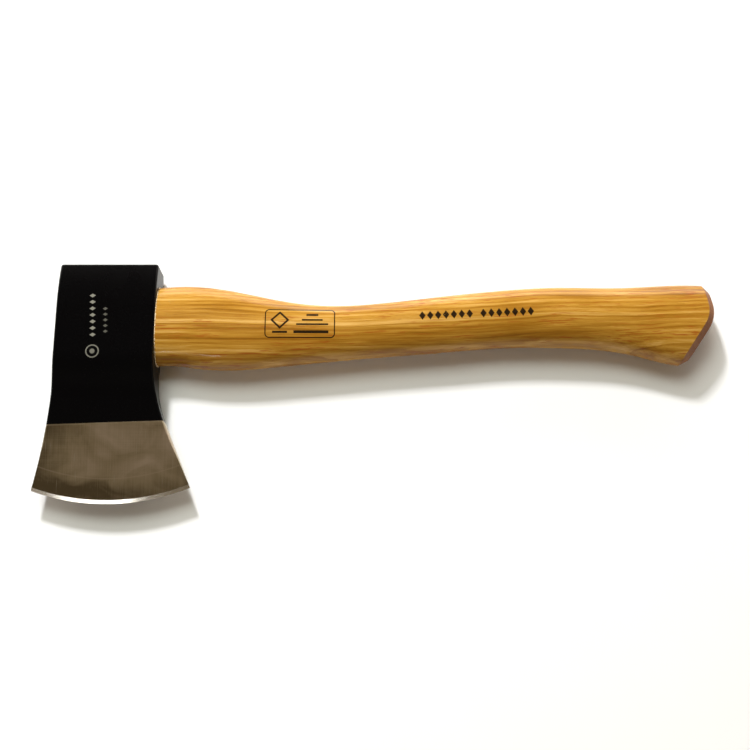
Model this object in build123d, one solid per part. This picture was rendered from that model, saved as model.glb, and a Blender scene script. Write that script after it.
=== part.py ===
from build123d import *
import math
import os

# Hatchet with a forged steel head and a curved hickory handle, lying on its side.
# The model is drawn about the eye: X runs along the handle from the head's handle-side face,
# Y runs from the cutting edge towards the poll with 0 at the middle of the eye,
# and Z is across the head's thickness with 0 at its middle plane.
# At the end every piece is moved so that the origin is under the middle of the whole hatchet.

# Head, seen from the side (mm)
head_width = 53.4                 # along the handle, through the eye
eye_to_poll = 33.2                # middle of the eye to the flat poll face
eye_to_toe_flare = 13.0           # middle of the eye to where the far side starts to flare
toe_flare_radius = 340.0          # flare on the side away from the handle
heel_flare_below_shoulder = 1.0   # the handle side stays flat this far past the handle's shoulder
heel_flare_radius = 78.0          # flare on the handle side
heel_flare_angle = 23.0           # degrees that the handle side turns before it runs straight
blade_offset = 3.8                # middle of the bit, towards the handle from the head's middle
bit_radius = 118.0                # curve of the cutting edge
eye_to_edge = 97.7                # middle of the eye to the lowest point of the edge

# Head, seen from the end (mm)
head_thickness = 25.0             # across the two flat cheeks
poll_thickness = 17.0             # across the poll face
cheek_above_eye = 8.0             # flat cheek, from the middle of the eye towards the poll
cheek_below_eye = 17.0            # flat cheek, from the middle of the eye towards the edge
blade_root_thickness = 12.4       # where the hollow below the cheek runs into the blade
blade_root_below_eye = 43.0       # middle of the eye to that place
grind_length = 13.0               # ground band, from the edge to where it meets the forged blade
grind_start_thickness = 4.9       # across the blade where the two meet
grind_run_on = 26.0               # the ground cone is drawn this far past that place
bevel_width = 1.9                 # sharpened bevel, measured in from the edge
bevel_thickness = 2.1             # across the blade where the bevel starts
edge_thickness = 0.3
corner_share = 0.3                # rounding of the outer corners, as a share of grind_start_thickness

# Eye, an oval hole that widens away from the handle (mm)
eye_length_inner = 35.0           # at the handle side, along Y
eye_length_outer = 38.0
cheek_wall_inner = 4.0            # steel beside the eye, at the handle side
cheek_wall_outer = 2.3
eye_roundness = 0.62              # 0.55 is an ellipse, more is squarer

# Wooden kerf wedge, driven in from the far end of the eye (mm)
wedge_depth = 42.0
wedge_thickness_outer = 5.6
wedge_thickness_tip = 1.4

# Steel step wedges, driven across the kerf wedge (mm)
step_wedge_margin = 2.7           # wood left at each end of a step wedge
step_wedge_depth = 14.0
step_wedge_thickness = 2.6
step_wedge_tip = 0.8
step_count = 4
step_bite = 0.35                  # how far each step stands out
step_wedge_spacing = 18.0         # between the two wedges, along the eye
step_wedge_slant = 32.0           # degrees from straight across
kerf_past_tip = 5.0               # saw cut left open past the wedge's tip
tongue_inset = 0.3                # tongue and wedges are sawn off this far inside the head's far face

# Shoulder of the handle, the oval that seats on the head's flat handle-side face (mm)
shoulder_height = -0.5            # middle of the shoulder, above the middle of the eye
shoulder_ledge = 4.5              # how far it stands out past each end of the eye, along Y
shoulder_inset = 0.9              # how far it stays inside each cheek, along Z

# Handle, ovals given by the height of the middle, the width along Y and the thickness along Z (mm)
handle_length = 302.4             # head face to the nose of the knob
swell_ovals = [                   # first value: distance from the head
    (22.8, -0.8, 46.2, 23.4),
    (44.8, -2.8, 43.5, 23.0),
    (66.8, -4.2, 37.0, 22.4),
]
grip_ovals = [                    # first value: share of the way from the swell to the knob
    (0.16, -4.4, 31.5, 21.8),
    (0.35, -2.4, 30.1, 21.4),
    (0.57, 0.9, 31.3, 21.6),
    (0.80, 4.1, 32.2, 22.2),
]
knob_ovals = [                    # first value: distance back from the nose, the last one is past it
    (82.4, 4.9, 33.9, 22.9),
    (58.4, 4.0, 35.0, 23.8),
    (39.4, 2.4, 39.3, 24.3),
    (26.4, 1.0, 43.6, 24.8),
    (11.4, 0.7, 44.9, 24.8),
    (-8.6, 0.7, 45.0, 24.8),
]
handle_roundness = 0.62
knob_nose_height = 2.0            # nose, above the middle of the eye
knob_top_lean = 5.8               # degrees that the upper end face leans back
knob_cut_angle = 56.0             # degrees of the slanted lower end face
knob_nose_radius = 20.0
knob_chamfer = 3.4                # sanded rim round the end grain

past_head = 10.0                  # tools and blanks run this far past the head
reach = 200.0                     # larger than any half size, for cutting tools

# Sizes that follow from the ones above
eye_width_inner = head_thickness - 2 * cheek_wall_inner
eye_width_outer = head_thickness - 2 * cheek_wall_outer
shoulder_width = eye_length_inner + 2 * shoulder_ledge
shoulder_thickness = head_thickness - 2 * shoulder_inset
step_wedge_length = eye_width_outer - 2 * step_wedge_margin
tongue_end = tongue_inset - head_width
past_edge = -eye_to_edge - past_head
corner_break = corner_share * grind_start_thickness
blade_slope = (blade_root_thickness - grind_start_thickness) / 2
blade_slope /= eye_to_edge - grind_length - blade_root_below_eye
grind_slope = (grind_start_thickness - bevel_thickness) / 2 / (grind_length - bevel_width)


def oval(length, width, roundness):
    """Closed oval in a local plane, length along local Y and width along local X."""
    half_l = length / 2
    half_w = width / 2
    top = (0, half_l)
    side = (half_w, 0)
    bottom = (0, -half_l)
    far_side = (-half_w, 0)
    bend_w = half_w * roundness
    bend_l = half_l * roundness
    quarters = [
        Bezier(top, (bend_w, half_l), (half_w, bend_l), side),
        Bezier(side, (half_w, -bend_l), (bend_w, -half_l), bottom),
        Bezier(bottom, (-bend_w, -half_l), (-half_w, -bend_l), far_side),
        Bezier(far_side, (-half_w, bend_l), (-bend_w, half_l), top),
    ]
    return Face(Wire(quarters))


def section_plane(x, height):
    """Plane across the handle at x: local X is world Z and local Y is world Y."""
    return Plane(origin=(x, height, 0), x_dir=(0, 0, 1), z_dir=(-1, 0, 0))


def eye_solid():
    """The eye's space with its taper, run on past both sides of the head."""
    sections = []
    for x in (past_head, -head_width - past_head):
        share = -x / head_width
        length = eye_length_inner + share * (eye_length_outer - eye_length_inner)
        width = eye_width_inner + share * (eye_width_outer - eye_width_inner)
        sections.append(section_plane(x, 0) * oval(length, width, eye_roundness))
    return loft(sections, ruled=True)


def head_outline():
    """Side view of the head, run on past the cutting edge."""
    toe_y = -eye_to_toe_flare
    flare_y = shoulder_height - shoulder_width / 2 - heel_flare_below_shoulder
    turn = math.radians(heel_flare_angle)
    heel_x = heel_flare_radius * (1 - math.cos(turn))
    heel_y = flare_y - heel_flare_radius * math.sin(turn)
    half_turn = turn / 2
    heel_mid_x = heel_flare_radius * (1 - math.cos(half_turn))
    heel_mid_y = flare_y - heel_flare_radius * math.sin(half_turn)
    heel_end_x = heel_x + (heel_y - past_edge) * math.tan(turn)
    toe_turn = math.asin((toe_y - past_edge) / toe_flare_radius)
    toe_end_x = -head_width - toe_flare_radius * (1 - math.cos(toe_turn))
    toe_mid_x = -head_width - toe_flare_radius * (1 - math.cos(toe_turn / 2))
    toe_mid_y = toe_y - toe_flare_radius * math.sin(toe_turn / 2)
    edges = [
        Line((-head_width, eye_to_poll), (0, eye_to_poll)),
        Line((0, eye_to_poll), (0, flare_y)),
        ThreePointArc((0, flare_y), (heel_mid_x, heel_mid_y), (heel_x, heel_y)),
        Line((heel_x, heel_y), (heel_end_x, past_edge)),
        Line((heel_end_x, past_edge), (toe_end_x, past_edge)),
        ThreePointArc((toe_end_x, past_edge), (toe_mid_x, toe_mid_y), (-head_width, toe_y)),
        Line((-head_width, toe_y), (-head_width, eye_to_poll)),
    ]
    return Face(Wire(edges))


def head_profile():
    """End view of the head: rounded in to the poll, flat cheeks, a hollow and the blade run on past the edge."""
    half = head_thickness / 2
    poll_half = poll_thickness / 2
    root_half = blade_root_thickness / 2
    grind_half = grind_start_thickness / 2
    end_half = 0.8 * grind_half
    upper = [
        (eye_to_poll, poll_half),
        (cheek_above_eye, half),
        (-cheek_below_eye, half),
        (-blade_root_below_eye, root_half),
        (grind_length - eye_to_edge, grind_half),
        (past_edge, end_half),
    ]
    edges = []
    for side in (1, -1):
        poll, crown, cheek, root, grind, end = [(y, side * z) for y, z in upper]
        edges.append(TangentArc(crown, poll, tangent=(1, 0)))
        edges.append(Line(crown, cheek))
        edges.append(Spline(cheek, root, tangents=[(-1, 0), (-1, -side * blade_slope)]))
        edges.append(Line(root, grind))
        edges.append(Spline(grind, end, tangents=[(-1, -side * blade_slope), (-1, 0)]))
    edges.append(Line((eye_to_poll, -poll_half), (eye_to_poll, poll_half)))
    edges.append(Line((past_edge, -end_half), (past_edge, end_half)))
    return Face(Wire(edges))


def bit_grind():
    """Round tool shape that gives the curved edge, its bevel and the ground band."""
    centre = (-head_width / 2 + blade_offset, bit_radius - eye_to_edge)
    bevel_r = bit_radius - bevel_width
    inner_r = bit_radius - grind_length - grind_run_on
    inner_half = bevel_thickness / 2 + (bevel_r - inner_r) * grind_slope
    tall = head_thickness
    ramp_r = inner_r - (tall - inner_half)
    profile = Polyline(
        (0, -tall),
        (ramp_r, -tall),
        (inner_r, -inner_half),
        (bevel_r, -bevel_thickness / 2),
        (bit_radius, -edge_thickness / 2),
        (bit_radius, edge_thickness / 2),
        (bevel_r, bevel_thickness / 2),
        (inner_r, inner_half),
        (ramp_r, tall),
        (0, tall),
        close=True,
    )
    tool = revolve(Plane.XZ * Face(Wire(profile.edges())), Axis.Z)
    return Pos(centre[0], centre[1], 0) * tool


def make_head():
    """Forged head: side outline, end profile and grinding together, then the eye."""
    blank = extrude(head_outline(), head_thickness, both=True)
    across = Plane(origin=(0, 0, 0), x_dir=(0, 1, 0), z_dir=(1, 0, 0))
    body = blank & extrude(across * head_profile(), reach, both=True)
    side_faces = body.faces().filter_by(lambda f: abs(f.normal_at().X) > 0.8)
    poll_face = body.faces().sort_by(Axis.Y)[-1]
    edges = ShapeList(poll_face.edges())
    for face in side_faces:
        edges += face.edges().filter_by(lambda e: abs((e % 0.5).Z) < 0.7)
    edges = ShapeList(set(edges)).filter_by(lambda e: e.center().Y > past_edge + corner_break)
    body = fillet(edges, corner_break)
    body = body & bit_grind()
    return body - eye_solid()


def knob_end_shape():
    """Everything on the head's side of the knob's two end faces."""
    nose = (handle_length, knob_nose_height)
    lean_x = handle_length - reach * math.tan(math.radians(knob_top_lean))
    cut = math.radians(knob_cut_angle)
    lower_x = handle_length - reach * math.cos(cut)
    lower_y = knob_nose_height - reach * math.sin(cut)
    outline = Polyline(
        nose,
        (lean_x, knob_nose_height + reach),
        (-reach, knob_nose_height + reach),
        (-reach, lower_y),
        (lower_x, lower_y),
        close=True,
    )
    face = Face(Wire(outline.edges()))
    nose_corner = face.vertices().sort_by_distance((nose[0], nose[1], 0))[0]
    return extrude(fillet(nose_corner, knob_nose_radius), reach, both=True)


def is_knob_rim(edge):
    """True for the edges between the knob's end faces and the grip's long surface."""
    tangent = edge % 0.5
    near_end = edge.center().X > handle_length / 2
    crosses = abs(tangent.X) < 0.7
    upright = abs(tangent.Z) > 0.999
    return near_end and crosses and not upright


def handle_ovals():
    """All the handle's ovals from the shoulder to past the nose, each with its distance from the head."""
    ovals = [(0, shoulder_height, shoulder_width, shoulder_thickness)]
    ovals += swell_ovals
    grip_start = swell_ovals[-1][0]
    grip_length = handle_length - knob_ovals[0][0] - grip_start
    for share, height, width, thickness in grip_ovals:
        ovals.append((grip_start + share * grip_length, height, width, thickness))
    for back, height, width, thickness in knob_ovals:
        ovals.append((handle_length - back, height, width, thickness))
    return ovals


def make_grip():
    """Curved grip through the stations, cut at the knob, with the rim of its end sanded off."""
    sections = []
    for x, height, width, thickness in handle_ovals():
        sections.append(section_plane(x, height) * oval(width, thickness, handle_roundness))
    body = loft(sections) & knob_end_shape()
    return chamfer(body.edges().filter_by(is_knob_rim), knob_chamfer)


def kerf_wedge_blank():
    """Long taper that opens the kerf, before it is trimmed to the eye."""
    tip = tongue_end + wedge_depth
    outer = wedge_thickness_outer / 2
    inner = wedge_thickness_tip / 2
    taper = Polyline((tongue_end, -outer), (tip, -inner), (tip, inner), (tongue_end, outer), close=True)
    face = Plane.XZ * Face(Wire(taper.edges()))
    return extrude(face, reach, both=True)


def kerf_end():
    """Last of the saw cut, past the tip of the kerf wedge."""
    tip = tongue_end + wedge_depth
    slot = Box(kerf_past_tip, reach, wedge_thickness_tip)
    return Pos(tip + kerf_past_tip / 2, 0, 0) * slot


def step_wedge(offset):
    """Barbed steel wedge, its shoulders facing back out of the wood, at an offset along the eye."""
    pitch = step_wedge_depth / step_count
    taper = (step_wedge_thickness - step_wedge_tip) / 2 / step_wedge_depth
    upper = [(step_wedge_depth, step_wedge_tip / 2)]
    for step in reversed(range(step_count)):
        depth = step * pitch
        half = step_wedge_tip / 2 + (step_wedge_depth - depth) * taper
        upper.append((depth, half + step_bite))
        if step > 0:
            upper.append((depth, half))
    lower = [(depth, -half) for depth, half in reversed(upper)]
    face = Face(Wire(Polyline(upper + lower, close=True).edges()))
    across = Plane(origin=(tongue_end, 0, 0), x_dir=(1, 0, 0), z_dir=(0, 0, 1))
    bar = extrude(across * face, step_wedge_length / 2, both=True)
    return Pos(0, offset, 0) * Rot(step_wedge_slant, 0, 0) * bar


def make_pieces():
    """All the pieces in the drawing frame, each cut to fit the ones driven in after it."""
    step_wedges = {
        "step_wedge_poll_side": step_wedge(step_wedge_spacing / 2),
        "step_wedge_edge_side": step_wedge(-step_wedge_spacing / 2),
    }
    tongue = eye_solid() & Pos(tongue_end / 2, 0, 0) * Box(-tongue_end, reach, reach)
    kerf_wedge = kerf_wedge_blank() & tongue
    tongue = tongue - kerf_wedge_blank() - kerf_end()
    for steel in step_wedges.values():
        kerf_wedge = kerf_wedge - steel
        tongue = tongue - steel
    pieces = {
        "head": make_head(),
        "handle": make_grip() + tongue,
        "kerf_wedge": kerf_wedge,
    }
    pieces.update(step_wedges)
    return pieces


def placement(pieces):
    """Move that puts the origin under the middle of the whole hatchet as it lies on a table."""
    box = Compound(children=[Compound(piece.solids()) for piece in pieces.values()]).bounding_box()
    return Pos(-box.center().X, -box.center().Y, -box.min.Z)


if __name__ == "__main__":
    os.makedirs("parts", exist_ok=True)
    hatchet = make_pieces()
    move = placement(hatchet)
    for name, piece in hatchet.items():
        export_step(move * piece, f"parts/{name}.step")
    print("drawing frame moved by", move.position)
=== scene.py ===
import math

import bmesh
import bpy
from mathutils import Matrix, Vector, noise


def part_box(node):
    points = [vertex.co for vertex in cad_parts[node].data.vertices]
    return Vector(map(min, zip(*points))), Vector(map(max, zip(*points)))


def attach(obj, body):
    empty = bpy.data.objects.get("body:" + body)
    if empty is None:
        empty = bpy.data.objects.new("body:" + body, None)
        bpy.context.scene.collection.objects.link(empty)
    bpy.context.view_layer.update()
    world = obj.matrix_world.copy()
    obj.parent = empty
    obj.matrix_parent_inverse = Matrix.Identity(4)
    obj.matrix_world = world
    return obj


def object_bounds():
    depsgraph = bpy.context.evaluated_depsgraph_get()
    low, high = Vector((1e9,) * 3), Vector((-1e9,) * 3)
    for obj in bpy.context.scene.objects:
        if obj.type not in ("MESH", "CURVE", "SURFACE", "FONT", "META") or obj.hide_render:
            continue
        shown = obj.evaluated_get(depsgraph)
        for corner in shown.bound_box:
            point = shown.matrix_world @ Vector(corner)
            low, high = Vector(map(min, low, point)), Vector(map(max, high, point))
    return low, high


# Hatchet lying on its side on a white table. Everything is in metres in the row frame:
# +X runs along the handle to the knob, +Y from the cutting edge to the poll, +Z up.
# Materials work in millimetres, in the object's own coordinates, so their patterns are solid.

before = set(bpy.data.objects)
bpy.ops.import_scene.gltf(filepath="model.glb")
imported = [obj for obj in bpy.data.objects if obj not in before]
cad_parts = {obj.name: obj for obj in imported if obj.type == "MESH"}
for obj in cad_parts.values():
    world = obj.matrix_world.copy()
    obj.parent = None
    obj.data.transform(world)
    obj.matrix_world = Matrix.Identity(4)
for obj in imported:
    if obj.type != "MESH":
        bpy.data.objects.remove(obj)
cad_low, cad_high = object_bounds()

MM = 0.001

# Sizes of the hatchet that the looks depend on (mm)
HEAD_WIDTH = 53.4
TONGUE_INSET = 0.3              # tongue and wedges end this far inside the eye
BIT_RADIUS = 118.0
BLADE_OFFSET = 3.8              # middle of the bit, towards the handle from the head's middle
GRIND_LENGTH = 13.0
BEVEL_WIDTH = 1.9
SHOULDER_LENGTH = 44.0          # oval where the handle seats on the head, along Y
SHOULDER_WIDTH = 23.2           # the same, along Z
SHOULDER_DROP = 0.5             # middle of that oval, below the middle of the eye
OVAL_ROUNDNESS = 0.62

# Places worked out from the frame (mm)
wedge_low, wedge_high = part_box("kerf_wedge")
far_face_x = wedge_low.x / MM - TONGUE_INSET
face_x = far_face_x + HEAD_WIDTH
eye_y = (wedge_low.y + wedge_high.y) / 2 / MM
eye_z = (wedge_low.z + wedge_high.z) / 2 / MM
edge_y = cad_low.y / MM
bit_x = face_x - HEAD_WIDTH / 2 + BLADE_OFFSET
bit_y = edge_y + BIT_RADIUS


def tone(red, green, blue):
    """Linear colour from screen values of 0 to 255."""
    def linear(value):
        value /= 255
        return value / 12.92 if value <= 0.04045 else ((value + 0.055) / 1.055) ** 2.4
    return linear(red), linear(green), linear(blue), 1.0


class Shader:
    """One material's node tree, with short calls that each return an output socket."""

    def __init__(self, name):
        self.material = bpy.data.materials.new(name)
        self.material.use_nodes = True
        self.tree = self.material.node_tree
        self.surface = self.tree.nodes["Principled BSDF"]
        coordinates = self.node("TexCoord")
        self.normal = coordinates.outputs["Normal"]
        self.x, self.y, self.z = self.split(coordinates.outputs["Object"], 1 / MM)

    def node(self, kind, **settings):
        made = self.tree.nodes.new("ShaderNode" + kind)
        for name, value in settings.items():
            setattr(made, name, value)
        return made

    def plug(self, socket, value):
        if isinstance(value, bpy.types.NodeSocket):
            self.tree.links.new(value, socket)
        else:
            socket.default_value = value

    def math(self, operation, *values):
        made = self.node("Math", operation=operation)
        for socket, value in zip(made.inputs, values):
            self.plug(socket, value)
        return made.outputs[0]

    def add(self, *values):
        total = values[0]
        for value in values[1:]:
            total = self.math("ADD", total, value)
        return total

    def minus(self, first, second):
        return self.math("SUBTRACT", first, second)

    def times(self, *values):
        product = values[0]
        for value in values[1:]:
            product = self.math("MULTIPLY", product, value)
        return product

    def opposite(self, value):
        return self.math("SUBTRACT", 1.0, value)

    def split(self, vector, scale=1.0):
        scaled = self.node("VectorMath", operation="SCALE")
        self.plug(scaled.inputs[0], vector)
        scaled.inputs["Scale"].default_value = scale
        parts = self.node("SeparateXYZ")
        self.plug(parts.inputs[0], scaled.outputs[0])
        return tuple(parts.outputs)

    def length(self, *parts):
        """Distance from the origin of a point given by two coordinates."""
        squares = [self.math("POWER", self.math("ABSOLUTE", part), 2.0) for part in parts]
        return self.math("SQRT", self.add(*squares))

    def noise(self, size, place=None, detail=2.0, roughness=0.5, distortion=0.0, shift=0.0):
        """Noise of 0 to 1, with features of about size (x, y, z) mm."""
        place = place or (self.x, self.y, self.z)
        joined = self.node("CombineXYZ")
        for socket, value, step in zip(joined.inputs, place, size):
            self.plug(socket, self.math("MULTIPLY_ADD", value, 1 / step, shift))
        made = self.node("TexNoise")
        self.plug(made.inputs["Vector"], joined.outputs[0])
        made.inputs["Scale"].default_value = 1.0
        made.inputs["Detail"].default_value = detail
        made.inputs["Roughness"].default_value = roughness
        made.inputs["Distortion"].default_value = distortion
        return made.outputs[0]

    def centred(self, value, amount):
        """Noise turned into a shift of up to half the amount each way."""
        return self.math("MULTIPLY_ADD", value, amount, -amount / 2)

    def chance(self, value):
        """A fixed random number of 0 to 1 for each whole value."""
        made = self.node("TexWhiteNoise", noise_dimensions="1D")
        self.plug(made.inputs["W"], value)
        return made.outputs["Value"]

    def step(self, value, low, high):
        """0 at low and 1 at high with a soft turn at both, for low above high too."""
        made = self.node("MapRange", interpolation_type="SMOOTHSTEP")
        self.plug(made.inputs["Value"], value)
        made.inputs["From Min"].default_value = low
        made.inputs["From Max"].default_value = high
        return made.outputs["Result"]

    def window(self, value, centre, half, soft):
        """1 within half of the centre and 0 further out."""
        away = self.math("ABSOLUTE", self.minus(value, centre))
        return self.step(away, half + soft, half - soft)

    def ramp(self, value, stops):
        made = self.node("ValToRGB")
        elements = made.color_ramp.elements
        while len(elements) < len(stops):
            elements.new(0.5)
        for element, (place, colour) in zip(elements, stops):
            element.position = place
            element.color = colour
        self.plug(made.inputs[0], value)
        return made.outputs[0]

    def mix(self, share, first, second, blend="MIX"):
        made = self.node("Mix", data_type="RGBA", blend_type=blend)
        self.plug(made.inputs[0], share)
        self.plug(made.inputs[6], first)
        self.plug(made.inputs[7], second)
        return made.outputs[2]

    def level(self, share, first, second):
        """Number between two others."""
        made = self.node("Mix", data_type="FLOAT")
        self.plug(made.inputs[0], share)
        self.plug(made.inputs[2], first)
        self.plug(made.inputs[3], second)
        return made.outputs[0]

    def finish(self, colour, roughness, height, constants):
        """Links the looks, with the height in millimetres, and sets what is the same all over."""
        self.plug(self.surface.inputs["Base Color"], colour)
        self.plug(self.surface.inputs["Roughness"], roughness)
        bump = self.node("Bump")
        bump.inputs["Distance"].default_value = MM
        self.plug(bump.inputs["Height"], height)
        self.plug(self.surface.inputs["Normal"], bump.outputs[0])
        for name, value in constants.items():
            self.surface.inputs[name].default_value = value
        return self.material


# ---------------------------------------------------------------- hickory handle

RING_SPACING = 2.6              # mm between growth rings
PITH_Y = 95.0                   # the tree's middle, from the middle of the eye
PITH_Z = -16.0
GRIP_BEND = 5.0                 # how far the grain climbs along the grip, following its curve
GRIP_BEND_FROM = 60.0           # where it does so, from the head's face
GRIP_BEND_TO = 225.0

WOOD_DARK = tone(112, 70, 12)
WOOD_BROWN = tone(146, 97, 22)
WOOD_HONEY = tone(176, 128, 46)
WOOD_PALE = tone(206, 162, 90)
WOOD_STREAK = tone(146, 70, 16)
END_GRAIN = tone(134, 70, 0)
INK = tone(14, 8, 5)
VARNISH = {"Specular IOR Level": 0.12, "Coat Weight": 0.32, "Coat Roughness": 0.10}

# Prints on the handle (mm), placed from the head's face and the middle of the eye
LABEL_PLACE = (78.0, -1.6)
LABEL_HALF = (18.6, 8.0)
LABEL_CORNER = 2.2
LOZENGE_PLACE = (-10.8, 1.8)    # from the label's middle
GRIP_PRINT_PLACES = ((156.6, 3.3), (189.5, 4.6))
GRIP_PRINT_CLIMB = math.radians(2.3)


def hickory_grain(s):
    """Growth rings, fibres and patches as one tone from 0 to 1, then streaks, then pores."""
    bend = s.step(s.x, face_x + GRIP_BEND_FROM, face_x + GRIP_BEND_TO)
    bend = s.centred(bend, GRIP_BEND)
    drift = s.centred(s.noise((130, 40, 40), detail=1.0), 9.0)
    wobble = s.centred(s.noise((34, 9, 9), detail=2.0), 2.2)
    y = s.add(s.minus(s.y, eye_y + PITH_Y), s.times(bend, -1.0), drift, wobble)
    z = s.add(s.minus(s.z, eye_z + PITH_Z), s.times(drift, 0.5))
    rings = s.math("DIVIDE", s.length(y, z), RING_SPACING)
    share = s.math("FRACT", rings)
    chance = s.chance(s.math("FLOOR", rings))
    early = s.step(share, 0.34, 0.04)
    late = s.step(share, 0.55, 1.0)
    place = (s.x, y, z)
    fine = s.noise((26, 0.5, 0.5), place, detail=3.0, roughness=0.65)
    broad = s.noise((75, 2.6, 2.6), place, detail=2.0)
    patch = s.noise((60, 18, 18), place, detail=2.0, shift=7.0)
    shade = s.add(
        0.60,
        s.times(early, -0.15),
        s.times(late, -0.10),
        s.centred(fine, 0.62),
        s.centred(broad, 0.80),
        s.centred(patch, 0.62),
        s.centred(chance, 0.22),
    )
    dash = s.step(s.noise((11, 0.7, 0.7), place, detail=2.0, shift=3.0), 0.55, 0.66)
    where = s.step(s.noise((60, 7, 7), place, detail=1.0, shift=11.0), 0.38, 0.56)
    streaks = s.times(dash, where)
    pores = s.step(s.noise((3.6, 0.24, 0.24), place, detail=1.0, shift=5.0), 0.63, 0.72)
    pores = s.times(pores, s.level(early, 0.25, 1.0))
    return shade, streaks, pores


def end_grain(s, low, high):
    """1 on surfaces that cut across the handle, told by the X part of their normal."""
    across = s.math("ABSOLUTE", s.split(s.normal)[0])
    rough = s.centred(s.noise((1.2, 1.2, 1.2)), 0.12)
    return s.step(s.add(across, rough), low, high)


def rounded_frame(s, u, v, half_u, half_v, corner):
    """Distance from the outline of a rounded rectangle, below 0 inside it."""
    out_u = s.math("MAXIMUM", s.minus(s.math("ABSOLUTE", u), half_u - corner), 0.0)
    out_v = s.math("MAXIMUM", s.minus(s.math("ABSOLUTE", v), half_v - corner), 0.0)
    return s.minus(s.length(out_u, out_v), corner)


def diamonds(s, u, v, pitch, half_u, half_v, count):
    """A row of so many diamonds along u, about the middle."""
    cells = s.math("MULTIPLY_ADD", u, 1 / pitch, count / 2 + 50)
    cell = s.minus(s.math("FRACT", cells), 0.5)
    along = s.math("ABSOLUTE", s.times(cell, pitch / half_u))
    across = s.math("ABSOLUTE", s.times(v, 1 / half_v))
    shape = s.step(s.add(along, across), 1.12, 0.88)
    return s.times(shape, s.window(u, 0.0, count / 2 * pitch, 0.05))


def bar(s, u, v, centre_u, centre_v, half_u, half_v):
    soft = 0.12
    return s.times(s.window(u, centre_u, half_u, soft), s.window(v, centre_v, half_v, soft))


def label_print(s):
    """Plain framed panel on the swell: a hollow diamond and five bars, no letters."""
    u = s.minus(s.x, face_x + LABEL_PLACE[0])
    v = s.minus(s.y, eye_y + LABEL_PLACE[1])
    outline = rounded_frame(s, u, v, *LABEL_HALF, LABEL_CORNER)
    ink = s.step(s.math("ABSOLUTE", outline), 0.40, 0.20)
    lozenge = s.add(
        s.math("ABSOLUTE", s.minus(u, LOZENGE_PLACE[0])),
        s.math("ABSOLUTE", s.minus(v, LOZENGE_PLACE[1])),
    )
    marks = [
        s.window(lozenge, 4.4, 0.75, 0.12),
        bar(s, u, v, LOZENGE_PLACE[0], -5.0, 4.0, 0.6),
        bar(s, u, v, 6.6, 4.9, 3.2, 0.6),
        bar(s, u, v, 6.6, 1.9, 5.6, 0.5),
        bar(s, u, v, 6.6, -0.6, 8.6, 0.5),
        bar(s, u, v, 6.0, -4.9, 9.4, 0.8),
    ]
    for mark in marks:
        ink = s.math("MAXIMUM", ink, mark)
    return ink


def grip_print(s):
    """Two runs of plain diamonds along the grip, climbing with it."""
    along, across = math.cos(GRIP_PRINT_CLIMB), math.sin(GRIP_PRINT_CLIMB)
    ink = None
    for centre_x, centre_y in GRIP_PRINT_PLACES:
        du = s.minus(s.x, face_x + centre_x)
        dv = s.minus(s.y, eye_y + centre_y)
        u = s.add(s.times(du, along), s.times(dv, across))
        v = s.minus(s.times(dv, along), s.times(du, across))
        row = diamonds(s, u, v, 4.25, 1.75, 2.5, 7)
        ink = row if ink is None else s.math("MAXIMUM", ink, row)
    return ink


def handle_material():
    s = Shader("varnished_hickory")
    shade, streaks, pores = hickory_grain(s)
    colour = s.ramp(shade, [
        (0.10, WOOD_DARK),
        (0.38, WOOD_BROWN),
        (0.62, WOOD_HONEY),
        (0.92, WOOD_PALE),
    ])
    colour = s.mix(s.times(streaks, 0.75), colour, WOOD_STREAK)
    colour = s.mix(s.times(pores, 0.55), colour, tone(104, 62, 24))
    ends = end_grain(s, 0.26, 0.44)
    dots = s.step(s.noise((0.5, 0.42, 0.42), detail=1.0), 0.50, 0.66)
    sawn = s.mix(0.45, colour, END_GRAIN, "MULTIPLY")
    sawn = s.mix(s.times(dots, 0.6), sawn, tone(58, 30, 10))
    sawn = s.mix(0.7, sawn, END_GRAIN)
    colour = s.mix(ends, colour, sawn)
    top = s.step(s.z, eye_z, eye_z + 2)
    wear = s.step(s.noise((0.9, 0.9, 0.9), detail=2.0), 0.16, 0.32)
    ink = s.times(s.math("MAXIMUM", label_print(s), grip_print(s)), top, wear)
    colour = s.mix(s.times(ink, 0.97), colour, INK)
    roughness = s.add(0.34, s.centred(s.noise((12, 1.2, 1.2)), 0.14), s.times(ends, 0.22))
    ripple = s.times(s.noise((9, 5, 5), detail=2.0), 0.05)
    fibre = s.times(s.noise((14, 0.6, 0.6), detail=2.0), 0.016)
    height = s.add(ripple, fibre, s.times(pores, -0.02))
    height = s.add(height, s.times(ends, dots, -0.05))
    return s.finish(colour, roughness, height, VARNISH)


def wedge_wood_material():
    """Paler wood of the kerf wedge, its sawn end showing across the eye."""
    s = Shader("sawn_wedge_wood")
    fine = s.noise((20, 0.35, 0.7), detail=3.0, roughness=0.6)
    layers = s.noise((60, 2.4, 0.9), detail=2.0)
    shade = s.add(0.5, s.centred(fine, 0.6), s.centred(layers, 0.7))
    colour = s.ramp(shade, [
        (0.15, tone(150, 112, 66)),
        (0.5, tone(196, 160, 108)),
        (0.85, tone(222, 192, 142)),
    ])
    ends = end_grain(s, 0.5, 0.8)
    saw = s.noise((3.0, 9.0, 0.35), detail=2.0)
    sawn = s.mix(s.step(saw, 0.35, 0.7), tone(120, 84, 46), tone(176, 138, 88))
    colour = s.mix(ends, colour, sawn)
    roughness = s.add(0.62, s.centred(fine, 0.2))
    height = s.add(s.times(fine, 0.03), s.times(saw, ends, 0.06))
    return s.finish(colour, roughness, height, {"Specular IOR Level": 0.35, "Coat Weight": 0.2})


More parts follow.
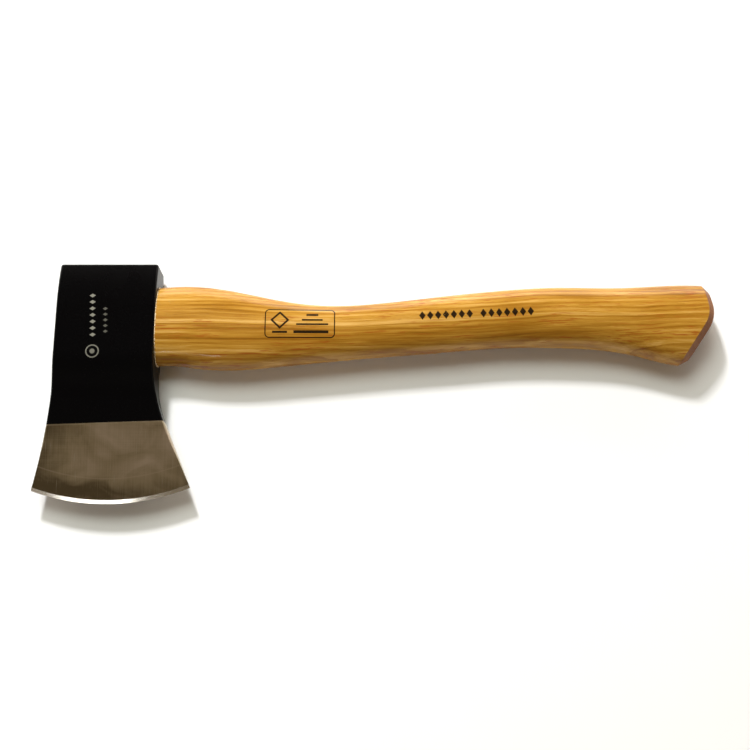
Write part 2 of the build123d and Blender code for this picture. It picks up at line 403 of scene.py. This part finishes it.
def wedge_steel_material():
    """Raw steel of the step wedges, hammered at the driven end."""
    s = Shader("driven_wedge_steel")
    dents = s.noise((2.2, 2.2, 2.2), detail=3.0)
    scale = s.step(s.noise((1.3, 2.0, 2.0), detail=3.0, shift=4.0), 0.40, 0.66)
    colour = s.mix(scale, tone(150, 146, 140), tone(78, 66, 54))
    roughness = s.level(scale, 0.36, 0.66)
    height = s.add(s.times(dents, 0.12), s.times(scale, 0.02))
    return s.finish(colour, roughness, height, {"Metallic": 0.9})


# ---------------------------------------------------------------- steel head

# Where the black paint ends (mm): a point off the far face and one off the handle's face,
# both given from that face and from the middle of the eye
PAINT_LINE_LOW = (-3.634, -56.05)
PAINT_LINE_HIGH = (8.866, -53.85)
PRINT_TILT = math.radians(3.5)
PAINT = tone(3, 3, 4)
STEEL_LIGHT = tone(222, 206, 186)
STEEL = tone(188, 174, 146)
STEEL_DARK = tone(122, 110, 86)
PRINT_GREY = tone(138, 136, 124)


def head_print(s):
    """Two short rows of diamonds and a ring with a dot, all plain, up the painted cheek."""
    cos, sin = math.cos(PRINT_TILT), math.sin(PRINT_TILT)
    ink = []
    for centre, half_u, half_v, pitch, count, strength in (
        ((far_face_x + 20.2, eye_y + 2.5), 1.1, 1.65, 3.7, 7, 1.0),
        ((far_face_x + 27.2, eye_y - 0.3), 0.9, 1.3, 3.2, 5, 0.42),
    ):
        du = s.minus(s.x, centre[0])
        dv = s.minus(s.y, centre[1])
        along = s.minus(s.times(dv, cos), s.times(du, sin))
        across = s.add(s.times(du, cos), s.times(dv, sin))
        row = diamonds(s, along, across, pitch, half_u, half_v, count)
        ink.append(s.times(row, strength))
    ring = s.length(s.minus(s.x, far_face_x + 21.2), s.minus(s.y, eye_y - 17.7))
    ink.append(s.times(s.window(ring, 3.3, 0.32, 0.14), 0.8))
    ink.append(s.times(s.step(ring, 1.5, 1.2), 0.7))
    total = ink[0]
    for mark in ink[1:]:
        total = s.math("MAXIMUM", total, mark)
    return s.times(total, s.step(s.z, eye_z, eye_z + 2))


def bare_steel(s):
    """1 below the paint line, on both cheeks and round the blade, and the distance below it."""
    low_x, low_y = far_face_x + PAINT_LINE_LOW[0], eye_y + PAINT_LINE_LOW[1]
    high_x, high_y = face_x + PAINT_LINE_HIGH[0], eye_y + PAINT_LINE_HIGH[1]
    slope = (high_y - low_y) / (high_x - low_x)
    line = s.math("MULTIPLY_ADD", s.x, slope, low_y - slope * low_x)
    below = s.minus(line, s.y)
    below = s.add(below, s.centred(s.noise((2.5, 2.5, 2.5)), 0.18))
    return s.step(below, -0.08, 0.08), below


def head_material():
    s = Shader("painted_and_ground_steel")
    bare, below = bare_steel(s)

    from_bit = s.length(s.minus(s.x, bit_x), s.minus(s.y, bit_y))
    bevel_start = BIT_RADIUS - BEVEL_WIDTH
    grind_start = BIT_RADIUS - GRIND_LENGTH
    bevel = s.step(from_bit, bevel_start - 0.12, bevel_start + 0.12)
    ground = s.step(from_bit, grind_start - 0.3, grind_start + 0.3)
    grind_line = s.window(from_bit, grind_start, 0.3, 0.3)

    lines = s.noise((0.38, 26, 26), detail=3.0, roughness=0.6)
    cross = s.noise((22, 0.4, 22), detail=2.0, shift=9.0)
    scratch = s.step(s.noise((0.5, 11, 11), detail=1.0, distortion=0.5, shift=2.0), 0.70, 0.76)
    smudge = s.noise((19, 13, 13), detail=3.0, distortion=1.0, shift=6.0)
    cloud = s.noise((55, 34, 34), detail=2.0, shift=1.5)
    # Painted shade: the bare steel's colour darkens towards the toe and, lower down, towards the
    # cutting edge, where its reflections are darker.
    toe_painted_shade = s.step(s.x, bit_x - 6, bit_x - 42)
    edge_painted_shade = s.step(below, 22, 40)
    shade = s.add(
        0.62,
        s.centred(lines, 0.34),
        s.centred(smudge, 0.70),
        s.centred(cloud, 0.5),
    )
    # Lays that painted shade into the steel's tone.
    shade = s.add(shade, s.times(toe_painted_shade, -0.42), s.times(edge_painted_shade, -0.38))
    shade = s.add(shade, s.times(s.opposite(ground), s.centred(cross, 0.16)))
    steel = s.ramp(shade, [(0.15, STEEL_DARK), (0.5, STEEL), (0.85, STEEL_LIGHT)])
    steel = s.mix(s.times(grind_line, 0.35), steel, STEEL_LIGHT)
    paint_edge = s.window(below, 0.45, 0.35, 0.25)
    steel = s.mix(s.times(paint_edge, 0.5), steel, tone(214, 200, 172))
    steel = s.mix(s.times(scratch, 0.35), steel, tone(226, 220, 208))
    steel = s.mix(bevel, steel, tone(226, 222, 212))
    steel_rough = s.add(
        0.38,
        s.centred(lines, 0.12),
        s.centred(smudge, 0.22),
        s.times(bevel, -0.16),
    )

    print_marks = head_print(s)
    paint = s.mix(s.times(print_marks, 0.75), PAINT, PRINT_GREY)
    dust = s.step(s.noise((0.5, 0.5, 0.5), detail=1.0, shift=8.0), 0.74, 0.80)
    paint = s.mix(s.times(dust, 0.25), paint, tone(58, 56, 52))
    haze = s.noise((16, 16, 16), detail=3.0)
    paint_rough = s.add(0.27, s.centred(haze, 0.12), s.times(print_marks, 0.2))

    colour = s.mix(bare, paint, steel)
    roughness = s.level(bare, paint_rough, steel_rough)
    s.plug(s.surface.inputs["Metallic"], s.level(bare, 0.0, 0.96))
    peel = s.times(s.noise((1.5, 1.5, 1.5), detail=1.0), 0.012)
    film = s.times(s.opposite(bare), 0.09)
    grooves = s.times(lines, s.level(bevel, 0.012, 0.004))
    height = s.add(s.level(bare, peel, grooves), film)
    return s.finish(colour, roughness, height, {"Specular IOR Level": 0.10})


# ---------------------------------------------------------------- crushed fibres round the shoulder

RIM_POINTS = 260
RIM_SIDES = 6
RIM_RADIUS = 0.34               # mm
RIM_RAGGED = 0.30
RIM_THINNEST = 0.08


def oval_points(length, width, count):
    """Points round an oval with the shoulder's shape, along Y and Z from its middle."""
    half_l = length / 2
    half_w = width / 2
    bend_l = half_l * OVAL_ROUNDNESS
    bend_w = half_w * OVAL_ROUNDNESS
    quarters = [
        ((half_l, 0), (half_l, bend_w), (bend_l, half_w), (0, half_w)),
        ((0, half_w), (-bend_l, half_w), (-half_l, bend_w), (-half_l, 0)),
        ((-half_l, 0), (-half_l, -bend_w), (-bend_l, -half_w), (0, -half_w)),
        ((0, -half_w), (bend_l, -half_w), (half_l, -bend_w), (half_l, 0)),
    ]
    points = []
    for step in range(count):
        place = step / count * 4
        first, second, third, fourth = [Vector(p) for p in quarters[int(place)]]
        t = place - int(place)
        u = 1 - t
        start = first * u**3 + second * 3 * u * u * t
        points.append(start + third * 3 * u * t * t + fourth * t**3)
    return points


def shoulder_rim():
    """Thin ragged bead of crushed, unvarnished fibre where the handle meets the head."""
    mesh = bmesh.new()
    rings = []
    points = oval_points(SHOULDER_LENGTH, SHOULDER_WIDTH, RIM_POINTS)
    for index, point in enumerate(points):
        out = Vector((0, point.x, point.y)).normalized()
        broad = noise.noise(Vector((index * 0.45, 3.1, 0.0)))
        fine = noise.noise(Vector((index * 1.3, 0.0, 5.7)))
        radius = max(RIM_RADIUS + RIM_RAGGED * (broad + 0.6 * fine), RIM_THINNEST)
        middle = Vector((face_x, eye_y - SHOULDER_DROP + point.x, eye_z + point.y))
        ring = []
        for side in range(RIM_SIDES):
            angle = 2 * math.pi * side / RIM_SIDES
            along = Vector((1, 0, 0)) * (math.cos(angle) + 1.0) * radius * 0.8
            away = out * math.sin(angle) * radius
            ring.append(mesh.verts.new((middle + along + away) * MM))
        rings.append(ring)
    for index in range(RIM_POINTS):
        here = rings[index]
        after = rings[(index + 1) % RIM_POINTS]
        for side in range(RIM_SIDES):
            next_side = (side + 1) % RIM_SIDES
            mesh.faces.new((here[side], here[next_side], after[next_side], after[side]))
    bmesh.ops.recalc_face_normals(mesh, faces=mesh.faces)
    data = bpy.data.meshes.new("shoulder_rim")
    mesh.to_mesh(data)
    mesh.free()
    for face in data.polygons:
        face.use_smooth = True
    piece = bpy.data.objects.new("shoulder_rim", data)
    bpy.context.scene.collection.objects.link(piece)
    return piece


def rim_material():
    s = Shader("crushed_fibre")
    gaps = s.noise((1.2, 0.8, 0.8), detail=2.0)
    colour = s.ramp(gaps, [
        (0.30, tone(120, 86, 50)),
        (0.42, tone(206, 170, 118)),
        (0.60, tone(238, 218, 182)),
    ])
    roughness = s.add(0.7, s.centred(gaps, 0.2))
    return s.finish(colour, roughness, s.times(gaps, 0.05), {"Specular IOR Level": 0.3})


# ---------------------------------------------------------------- studio

AIM_SHIFT = Vector((-1.32, 4.75, 0)) * MM       # from the middle of the hatchet's box
AIM = (cad_low + cad_high) / 2 + AIM_SHIFT
CAMERA_DISTANCE = 0.6281
CAMERA_TILT = math.radians(15.6)
CAMERA_LENS = 55.83
CAMERA_SENSOR = 36.0
TABLE_SIZE = 2.4
TABLE_GAP = 0.00005             # keeps the table clear of the cheek that lies on it


def make_camera():
    data = bpy.data.cameras.new("camera")
    data.lens = CAMERA_LENS
    data.sensor_width = CAMERA_SENSOR
    camera = bpy.data.objects.new("camera", data)
    back = Vector((0, -math.sin(CAMERA_TILT), math.cos(CAMERA_TILT)))
    camera.location = AIM + back * CAMERA_DISTANCE
    camera.rotation_euler = (CAMERA_TILT, 0, 0)
    bpy.context.scene.collection.objects.link(camera)
    bpy.context.scene.camera = camera


def make_table():
    bpy.ops.mesh.primitive_plane_add(size=TABLE_SIZE, location=(0, 0, -TABLE_GAP))
    table = bpy.context.object
    table.name = "table"
    s = Shader("white_table")
    fleck = s.noise((40, 40, 40), detail=2.0)
    colour = s.mix(fleck, (0.88, 0.88, 0.88, 1), (0.90, 0.90, 0.90, 1))
    made = s.finish(colour, 0.7, s.times(fleck, 0.01), {"Specular IOR Level": 0.2})
    table.data.materials.append(made)


def softbox(name, direction, distance, size, power, shows=True, tint=(1, 1, 1)):
    """Area light that faces the hatchet. One that doesn't show leaves no reflection."""
    data = bpy.data.lights.new(name, "AREA")
    data.shape = "RECTANGLE"
    data.size, data.size_y = size
    data.energy = power
    data.color = tint
    light = bpy.data.objects.new(name, data)
    towards = Vector(direction).normalized()
    light.location = AIM + towards * distance
    light.rotation_euler = towards.to_track_quat("Z", "Y").to_euler()
    light.visible_glossy = shows
    bpy.context.scene.collection.objects.link(light)


def make_lights():
    softbox(
        "low_key", (-0.25, 0.69, 0.68), 1.6, (0.16, 0.20), 26.0,
        shows=False, tint=(0.97, 0.98, 1.0),
    )
    softbox(
        "high_key", (-0.16, 0.42, 0.89), 1.4, (0.70, 0.62), 9.2,
        shows=False, tint=(0.94, 1.0, 0.93),
    )
    softbox("front_panel", (-0.41, -0.61, 0.67), 1.4, (0.24, 0.10), 0.75)
    softbox("small_lamp", (-0.25, -0.66, 0.70), 1.4, (0.12, 0.09), 0.40)


def make_world():
    """Dim warm room, pale at the horizon, with a bright strip low down beyond the poll."""
    world = bpy.data.worlds.new("studio")
    world.use_nodes = True
    bpy.context.scene.world = world
    tree = world.node_tree

    def node(kind, **settings):
        made = tree.nodes.new("ShaderNode" + kind)
        for name, value in settings.items():
            setattr(made, name, value)
        return made

    def ramp(value, stops):
        made = node("ValToRGB")
        elements = made.color_ramp.elements
        while len(elements) < len(stops):
            elements.new(0.5)
        for element, (place, colour) in zip(elements, stops):
            element.position = place
            element.color = colour
        tree.links.new(value, made.inputs[0])
        return made.outputs[0]

    parts = node("SeparateXYZ")
    tree.links.new(node("TexCoord").outputs["Generated"], parts.inputs[0])
    ceiling = (0.16, 0.12, 0.075, 1)
    height = ramp(parts.outputs[2], [
        (0.0, (0.80, 0.80, 0.79, 1)),
        (0.12, (0.66, 0.65, 0.63, 1)),
        (0.26, (0.15, 0.12, 0.08, 1)),
        (0.60, ceiling),
    ])
    side = ramp(parts.outputs[1], [(0.45, (0, 0, 0, 1)), (0.75, (1, 1, 1, 1))])
    low = ramp(parts.outputs[2], [(0.34, (1, 1, 1, 1)), (0.42, (0, 0, 0, 1))])
    glow = node("VectorMath", operation="MULTIPLY")
    tree.links.new(side, glow.inputs[0])
    tree.links.new(low, glow.inputs[1])
    total = node("VectorMath", operation="MULTIPLY_ADD")
    tree.links.new(glow.outputs[0], total.inputs[0])
    total.inputs[1].default_value = (4.2, 3.9, 3.6)
    tree.links.new(height, total.inputs[2])
    tree.links.new(total.outputs[0], tree.nodes["Background"].inputs["Color"])


# ---------------------------------------------------------------- scene

def dress(node, material):
    """Gives a CAD node its material."""
    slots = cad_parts[node].data.materials
    slots.clear()
    slots.append(material)


dress("head", head_material())
dress("handle", handle_material())
dress("kerf_wedge", wedge_wood_material())
wedge_steel = wedge_steel_material()
for wedge in ("step_wedge_poll_side", "step_wedge_edge_side"):
    dress(wedge, wedge_steel)

rim = shoulder_rim()
rim.data.materials.append(rim_material())
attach(rim, "root")

make_camera()
make_table()
make_lights()
make_world()
bpy.context.scene.view_settings.view_transform = "Standard"
